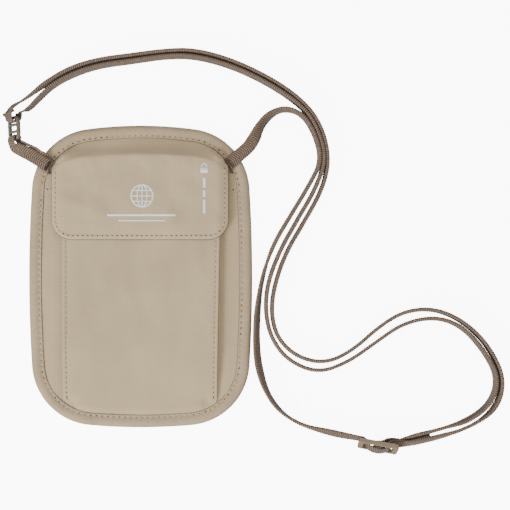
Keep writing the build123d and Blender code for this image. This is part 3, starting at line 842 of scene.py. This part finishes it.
# The pleat's wall from its foot up, and the panel's rows of points in from it
WALL = [(-0.9, -0.05), (-0.25, -0.15), (0.35, 0.6), (0.45, 1.7), (0.15, 2.9), (-0.12, 3.7), (-0.05, 4.15)]
PLEAT = [0.3, 0.8, 1.4, 1.8, 2.1, 2.4, 2.9, 3.8, 5.2, 7.2]


def front_pocket():
    finer_below, strip_gap, strip_columns = -66, 1.4, 8
    ys = [*np.arange(-CLOTH_END, finer_below, 0.8), *np.arange(finer_below, POCKET_MOUTH - 0.4, 1.03)]
    ys.append(POCKET_MOUTH)
    rows = []
    for y in ys:
        right = pocket_side(y)
        row = []
        for t in np.linspace(0, 1, strip_columns + 1)[:-1]:
            x = -CLOTH_HALF + (POCKET_LEFT - strip_gap + CLOTH_HALF) * t
            row.append((x, y, strip_height(x, y, -1)))
        for dx, dz in WALL:
            x = POCKET_LEFT + dx
            row.append((x, y, lowered(STRIP_TOP + dz, x, y)))
        for dx in PLEAT:
            row.append((POCKET_LEFT + dx, y, lowered(panel_height(POCKET_LEFT + dx, y, dx), POCKET_LEFT, y)))
        low, high = POCKET_LEFT + PLEAT[-1], right - PLEAT[-1]
        for t in np.linspace(0, 1, 46)[1:-1]:
            x = low + (high - low) * t
            row.append((x, y, lowered(panel_height(x, y, min(x - POCKET_LEFT, right - x)), x, y)))
        for dx in PLEAT[::-1]:
            row.append((right - dx, y, lowered(panel_height(right - dx, y, dx), right, y)))
        for dx, dz in WALL[::-1]:
            x = right - dx
            row.append((x, y, lowered(STRIP_TOP + dz, x, y)))
        for t in np.linspace(0, 1, strip_columns + 1)[1:]:
            x = right + strip_gap + (CLOTH_HALF - right - strip_gap) * t
            row.append((x, y, strip_height(x, y, 1)))
        rows.append(row)
    # The column at the foot of each wall is its pleat's dark line, in painted shade
    foot = strip_columns + 1
    shaded_columns = (foot, len(rows[0]) - 2 - foot)
    piece = cloth_grid("front_pocket_cloth", rows, [RIPSTOP, FOLD_SHADE, LINING], 0.35, shaded_columns=shaded_columns)
    gussets = ("pocket_gusset_left", "pocket_gusset_right")
    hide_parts("pocket_panel", *gussets, "pocket_bottom", "pocket_hem")
    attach(piece, "pouch")


front_pocket()
pocket_seams = []
for side in (-1, 1):
    line = []
    for y in np.arange(-80.5, POCKET_MOUTH - 1, 1.0):
        x = POCKET_LEFT + PLEAT_SEAM if side < 0 else pocket_side(y) - PLEAT_SEAM
        if edge_distance(x, y)[0] > 1.0:
            line.append((x, y))
    pocket_seams.append((line, pocket_top))
for x0, x1 in ((-59.4, POCKET_LEFT - 1.5), (POCKET_RIGHT_TOP + 1.5, 59.4)):
    pocket_seams.append(([(x0 + (x1 - x0) * t, HEM_SEAM_Y) for t in (0, 0.25, 0.5, 0.75, 1)], pocket_top))
hem_seam = [(x, HEM_SEAM_Y) for x in np.arange(POCKET_LEFT + 1, POCKET_RIGHT_TOP - 1, 1.0)]
pocket_seams.append((hem_seam, pocket_top))
stitches("pocket_stitches", "pouch", pocket_seams, pitch=3.1, hole=0.48)

# Front panels, either side of the zip, and the zip


PANEL_FACE, PANEL_BOUND = 3.45, 4.0


def panel_sheet(name, node, y0, y1, step):
    """A front panel between two heights, faintly rippled, with a crease along its seams."""
    rows = []
    for y in np.linspace(y0, y1, max(4, round((y1 - y0) / step))):
        row = []
        for x in np.linspace(-CLOTH_HALF, CLOTH_HALF, 89):
            near = min(abs(y - y0), abs(y - y1))
            row.append((x, y, PANEL_FACE + 0.12 * ripple(x, y, 11, 8) - 0.10 * hump(near - 1.8, 0.8)))
        rows.append(row)
    piece = cloth_grid(name, rows, [SHADED_PANEL_RIPSTOP, LINING], 0.4, bound=PANEL_BOUND)
    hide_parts(node)
    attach(piece, "pouch")


panel_sheet("front_panel_lower_cloth", "front_panel_lower", -88, 63.4, step=2.4)
panel_sheet("front_panel_upper_cloth", "front_panel_upper", 71.2, CLOTH_END, step=1.2)


def zip_seam_height(x, y):
    return 3.42


zip_seams = []
for y, half in ((61.8, 58.0), (72.8, 53.0)):
    zip_seams.append(([(x, y) for x in np.arange(-half, half, 1.0)], zip_seam_height))
stitches("zip_stitches", "pouch", zip_seams, pitch=2.8, hole=0.3, thread=0.36)


def zip_teeth(side):
    """One row of the coil's teeth, each a bent nylon loop that reaches over the middle."""
    verts, faces = [], []
    pitch, nylon, sides = 1.05, 0.21, 5
    track = [(0.35, 0.10), (0.05, 0.45), (0.35, 0.85), (1.2, 1.02), (2.0, 0.85), (2.4, 0.45), (2.1, 0.10)]
    count = int(2 * ZIP_HALF / pitch)
    for k in range(count):
        x = -ZIP_HALF + pitch * (k + (0.25 if side < 0 else 0.75))
        base = len(verts)
        for out, z in track:
            for a in range(sides):
                turn = 2 * math.pi * a / sides
                verts.append((
                    x + nylon * math.cos(turn) * 0.9,
                    ZIP_Y + side * (out + nylon * math.sin(turn) * 0.5),
                    COIL_LOW + z + nylon * math.sin(turn) * 0.6,
                ))
        faces += [tuple(v + base for v in f) for f in tube_faces(len(track), sides, False)]
    half = "lower" if side < 0 else "upper"
    piece = make_mesh("zip_teeth_" + half, verts, faces, COIL_NYLON)
    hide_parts("zip_coil_" + half)
    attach(piece, "pouch")


zip_teeth(-1)
zip_teeth(1)

# Flap: one cloth from under the binding, over the fold, down to its free edge

# Its rows and columns of points lie close together at its free edges, then evenly from EDGE_DONE in
EDGE_ROWS, EDGE_DONE = [0, 0.25, 0.7, 1.3, 1.9, 2.3, 2.8, 3.6], 4.8
FLAP_HEAD, FLAP_BOUND, FLAP_SEAM = 89.0, 5.5, 2.2


def flap_foot(x):
    over = abs(x) - (FLAP_HALF - FLAP_CORNER)
    if over <= 0:
        return FLAP_FOOT
    return FLAP_FOOT + FLAP_CORNER - math.sqrt(max(0.0, FLAP_CORNER**2 - over**2))


def flap_margin(x, y):
    """How far a point is inside the flap's free edges."""
    cx, cy = FLAP_HALF - FLAP_CORNER, FLAP_FOOT + FLAP_CORNER
    if abs(x) > cx and y < cy:
        return FLAP_CORNER - math.hypot(abs(x) - cx, cy - y)
    return min(FLAP_HALF - abs(x), y - FLAP_FOOT)


def flap_top(x, y):
    depth, _ = edge_distance(x, y)
    margin = flap_margin(x, y)
    sewn = STRIP_TOP + 0.1 - 0.5 * hump(depth, 0.9)
    z = FLAP_TOP + 0.25
    # It sags beyond the pocket's sides and towards its free edge
    z -= 1.9 * smooth((abs(x) - 46.5) / 7.5)
    z -= 0.8 * smooth((33 - y) / 11)
    # Its wrinkles spare the rules of the print, and are stronger near the fold
    spared = smooth(abs(y - 33) / 14 + smooth((abs(x) - 12) / 10))
    soft = smooth(margin / 9) * spared * (1 + 0.8 * smooth((y - 58) / 12))
    z += soft * (1.3 * ripple(x, y * 1.5, 26, 9) + 0.75 * ripple(x, y, 11, 10) + 0.20 * ripple(x, y, 5, 11))
    # A shallow crease each side of the print, running down from the seam
    z -= 0.5 * smooth((y - 45) / 25) * hump(x - 34 - (y - 60) * 0.25, 5.0)
    z -= 0.4 * smooth((y - 48) / 25) * hump(x + 38 - (y - 60) * 0.2, 6.0)
    near = hump(margin - FLAP_SEAM, 0.75) * smooth((78 - y) / 6)
    z -= near * (0.24 + 0.10 * math.cos(2 * math.pi * (x + y) / 3.0))
    z -= 0.45 * hump(margin, 0.8)
    blend = smooth((depth + 1.0) / (5.0 + 12.0 * smooth((y - 66) / 14)))
    z = sewn + (z - sewn) * blend
    # It rests on the pocket and its mouth, and clears the zip's slider and pull
    held = FLAP_THICK + 8.95 - 3.5 * smooth((abs(x - 0.5) - 47.5) / 5.5)
    held -= 6.0 * smooth((y - 71.5) / 10)
    over = z - held
    if margin > 0.3 and depth > 1.0:
        z = held + (over + math.sqrt(over * over + 0.12)) / 2
    return z


def flap():
    even_rows = 56
    left, right = [-FLAP_HALF + e for e in EDGE_ROWS], [FLAP_HALF - e for e in EDGE_ROWS[::-1]]
    xs = [*left, *np.linspace(-FLAP_HALF + EDGE_DONE, FLAP_HALF - EDGE_DONE, 84), *right]
    rows = []
    for k in range(len(EDGE_ROWS) + even_rows):
        row = []
        for x in xs:
            foot = flap_foot(x)
            if k < len(EDGE_ROWS):
                y = foot + EDGE_ROWS[k]
            else:
                share = (k - len(EDGE_ROWS)) / (even_rows - 1)
                y = foot + EDGE_DONE + (FLAP_HEAD - foot - EDGE_DONE) * share
            row.append((x, y, flap_top(x, y)))
        rows.append(row)
    materials = [LIT_FLAP_RIPSTOP, FOLD_SHADE, LINING]
    # The flap's turned edge takes the painted shade, a dark line along its free edge
    piece = cloth_grid("flap_cloth", rows, materials, FLAP_THICK, bound=FLAP_BOUND, flare=0.4)
    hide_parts("flap_root", "flap_outer", "flap_lining")
    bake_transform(piece)
    return piece


flap_piece = flap()


def flap_seam_line():
    """The seam's line, down the flap's left side, round its foot and up its right side."""
    side, foot = FLAP_HALF - FLAP_CORNER, FLAP_FOOT + FLAP_CORNER
    radius, head = FLAP_CORNER - FLAP_SEAM, 66.0

    def corner(x, start):
        turns = np.linspace(start, start + math.pi / 2, 14)
        return [(x + radius * math.cos(a), foot + radius * math.sin(a)) for a in turns]

    down = [(-FLAP_HALF + FLAP_SEAM, y) for y in np.arange(head, foot, -1.0)]
    across = [(x, FLAP_FOOT + FLAP_SEAM) for x in np.arange(-side + 1, side, 1.0)]
    up = [(FLAP_HALF - FLAP_SEAM, y) for y in np.arange(foot + 1, head, 1.0)]
    return down + corner(-side, math.pi) + across + corner(side, 1.5 * math.pi) + up


flap_seam = stitches("flap_stitches", "flap", [(flap_seam_line(), flap_top)], pitch=3.0, hole=0.50)
flap_flat, flap_area = cut(FLAP_FOOT, FLAP_HEAD, FLAP_BOUND, half=FLAP_HALF)
# What its two rounded corners take off
flap_area -= (2 - math.pi / 2) * (FLAP_CORNER * MM) ** 2

def direction(line, i):
    """The unit direction of a line in plan at its point i."""
    before, after = line[max(0, i - 1)], line[min(len(line) - 1, i + 1)]
    dx, dy = after[0] - before[0], after[1] - before[1]
    size = math.hypot(dx, dy)
    return dx / size, dy / size


# Print: a plain globe over two rules on the flap's middle, and a padlock over a dashed line at its right


def printed(name, outlines):
    """Flat strips that lie on the flap. Each is a centre line and a width."""
    verts, faces = [], []
    for line, width in outlines:
        base = len(verts)
        for i, (x, y) in enumerate(line):
            dx, dy = direction(line, i)
            ox, oy = -dy * width / 2, dx * width / 2
            for px, py in ((x + ox, y + oy), (x - ox, y - oy)):
                verts.append((px, py, flap_top(px, py) + 0.09))
        for i in range(len(line) - 1):
            a = base + 2 * i
            faces.append((a, a + 1, a + 3, a + 2))
    piece = thickened(name, verts, faces, [PRINT], 0.07)
    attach(piece, "flap")


def ellipse(cx, cy, rx, ry, start=0.0, end=2 * math.pi, count=36):
    turns = [start + (end - start) * i / count for i in range(count + 1)]
    return [(cx + rx * math.cos(a), cy + ry * math.sin(a)) for a in turns]


def straight(x0, y0, x1, y1, count=16):
    return [(x0 + (x1 - x0) * i / count, y0 + (y1 - y0) * i / count) for i in range(count + 1)]


gx, gy, gr = 1.5, 49.0, 6.6
globe = [(ellipse(gx, gy, gr, gr), 1.0)]
half_turns = (math.pi / 2, -math.pi / 2)
globe_lines = [ellipse(gx, gy, gr * 0.45, gr, start, start + math.pi) for start in half_turns]
globe_lines.append(straight(gx, gy - gr, gx, gy + gr))
for up in (0, -0.5, 0.5):
    reach = gr * math.sqrt(1 - up * up)
    globe_lines.append(straight(gx - reach, gy + gr * up, gx + reach, gy + gr * up))
globe += [(line, 0.8) for line in globe_lines]
rules = [(straight(-19.5, 37.4, 22.0, 37.4, 40), 1.5), (straight(-13.0, 34.0, 15.5, 34.0, 30), 0.9)]
printed("flap_print_globe", globe)
printed("flap_print_rules", rules)
lx, ly = 39.2, 64.5
shackle = ellipse(lx, ly + 1.9, 1.5, 2.0, 0, math.pi, 14)
lock = [(straight(lx - 2.3, ly, lx + 2.3, ly, 6), 3.4), (shackle, 0.7)]
dashes = [(straight(lx, y, lx, y - length, 8), 1.7) for y, length in ((60.0, 6.0), (52.6, 4.2), (47.0, 8.6))]
printed("flap_print_padlock", lock)
printed("flap_print_dashes", dashes)

# Back panel: one plain cloth, not padded


def back_panel():
    verts, count = [], len(RIM)
    insets = [4.5, 6.0, 7.9, 8.3, 8.8, 9.6, 11.0, 13.5]
    edge_heights = [0.62, 0.62, 0.62, 0.35, 0.12, 0.03, 0.0]
    rings = [[tuple(p - n * inset) for p, n in zip(RIM, RIM_OUT)] for inset in insets]
    last = rings[-1]
    for t in (0.93, 0.85, 0.76, 0.66, 0.56, 0.46, 0.36, 0.26, 0.16, 0.07):
        rings.append([(x * t, y * t) for x, y in last])
    for k, ring in enumerate(rings):
        for x, y in ring:
            z = edge_heights[k] if k < len(edge_heights) else 0.10 + 0.10 * ripple(x, y, 18, 12)
            verts.append((x, y, z))
    # The rings are joined as a tube's are, without its two caps
    faces = tube_faces(len(rings), count, False)[:-2]
    verts.append((0, 0, 0.1))
    innermost = (len(rings) - 1) * count
    for c in range(count):
        faces.append((innermost + c, innermost + (c + 1) % count, len(verts) - 1))
    piece = thickened("back_panel_cloth", verts, faces, [BACK_CLOTH], 0.55, down=False)
    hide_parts("back_panel")
    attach(piece, "pouch")


back_panel()

# Bartacks: short dense zigzags of dark thread where the strap's ends are sewn on


def bartack(name, centre, heading, z):
    """Zigzag thread across the strap, as one bent tube."""
    turns, reach, step_out, sides = 18, 3.2, 0.9, 6
    verts = []
    along = (math.cos(heading), math.sin(heading))
    track = []
    for k in range(turns + 1):
        out = -reach + 2 * reach * k / turns
        step = step_out if k % 2 else -step_out
        x, y = centre[0] + along[0] * step, centre[1] + along[1] * step
        track.append((x - along[1] * out, y + along[0] * out))
    for i, (x, y) in enumerate(track):
        dx, dy = direction(track, i)
        for a in range(sides):
            turn = 2 * math.pi * a / sides
            wide = 0.3 * math.cos(turn)
            verts.append((x - dy * wide, y + dx * wide, z + 0.22 * math.sin(turn)))
    piece = make_mesh(name, verts, tube_faces(len(track), sides, False), BARTACK)
    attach(piece, "pouch")
    return piece


left_tack = bartack("bartack_left", (-56.0, 67.3), math.radians(146), 7.95)
bartack("bartack_right", (54.6, 69.0), math.radians(42), 6.5)
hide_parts("strap_bartacks")

# Materials of the CAD parts that stay as they are

for node, material in {
    "ladder_ring": RING_PLASTIC, "strap_slider": SLIDER_PLASTIC,
    "zip_slider": ZIP_METAL, "zip_pull": ZIP_METAL, "zip_end_stops": ZIP_METAL,
    "zip_tape_lower": ZIP_TAPE, "zip_tape_upper": ZIP_TAPE,
    "loop_patch": LOOP_PILE, "hook_patch": HOOK_PILE,
    "rfid_lining_rear": FOIL, "rfid_lining_front": FOIL,
}.items():
    slots = bpy.data.objects[node].material_slots
    if not slots:
        bpy.data.objects[node].data.materials.append(material)
    for slot in slots:
        slot.material = material

# Floor, world and soft light

FLOOR_HALF, FLOOR_DROP = 30.0, -0.0002
floor_shade = Shade("floor_paper", roughness=0.9, specular=0.1)
floor_shade.colour(floor_shade.mottled(WHITE, 3.0, 3.0, 0.90, 0.92, spread=0.3))
floor = bpy.data.objects.new("floor", bpy.data.meshes.new("floor"))
signs = ((-1, -1), (1, -1), (1, 1), (-1, 1))
floor_corners = [(x * FLOOR_HALF, y * FLOOR_HALF, FLOOR_DROP) for x, y in signs]
floor.data.from_pydata(floor_corners, [], [(0, 1, 2, 3)])
floor.data.materials.append(floor_shade.material)
bpy.context.collection.objects.link(floor)
floor_shade.shader.inputs["Emission Color"].default_value = (1.0, 1.0, 1.0, 1)
floor_shade.shader.inputs["Emission Strength"].default_value = 9.0
# The paper glows, and diffuse and glossy rays don't see it, so it doesn't light the cloth from below
floor.visible_diffuse = False
floor.visible_glossy = False



def studio_world():
    """Soft light from above and weaker light from the horizon and below."""
    world = bpy.data.worlds.new("studio")
    world.use_nodes = True
    nodes, link = world.node_tree.nodes, world.node_tree.links.new
    sky = nodes.new("ShaderNodeTexCoord")
    up = nodes.new("ShaderNodeSeparateXYZ")
    shade = nodes.new("ShaderNodeValToRGB")
    low, high = shade.color_ramp.elements
    low.position, high.position = 0.0, 0.35
    low.color, high.color = (0.42, 0.42, 0.42, 1), (1.0, 1.0, 1.0, 1)
    link(sky.outputs["Generated"], up.inputs[0])
    link(up.outputs["Z"], shade.inputs[0])
    link(shade.outputs[0], nodes["Background"].inputs["Color"])
    nodes["Background"].inputs["Strength"].default_value = 0.74
    return world


bpy.context.scene.world = studio_world()
LIGHT_AIM = Vector((0.05, 0.0, 0.0))


def softbox(name, place, size, watts):
    light = bpy.data.lights.new(name, "AREA")
    light.shape, light.size, light.energy = "SQUARE", size, watts
    holder = bpy.data.objects.new(name, light)
    holder.location = place
    holder.rotation_euler = (LIGHT_AIM - Vector(place)).to_track_quat("-Z", "Y").to_euler()
    bpy.context.collection.objects.link(holder)


softbox("key", (-0.70, -0.80, 0.66), 0.5, 17.0)
softbox("fill", (0.9, 0.6, 1.1), 1.2, 4.0)
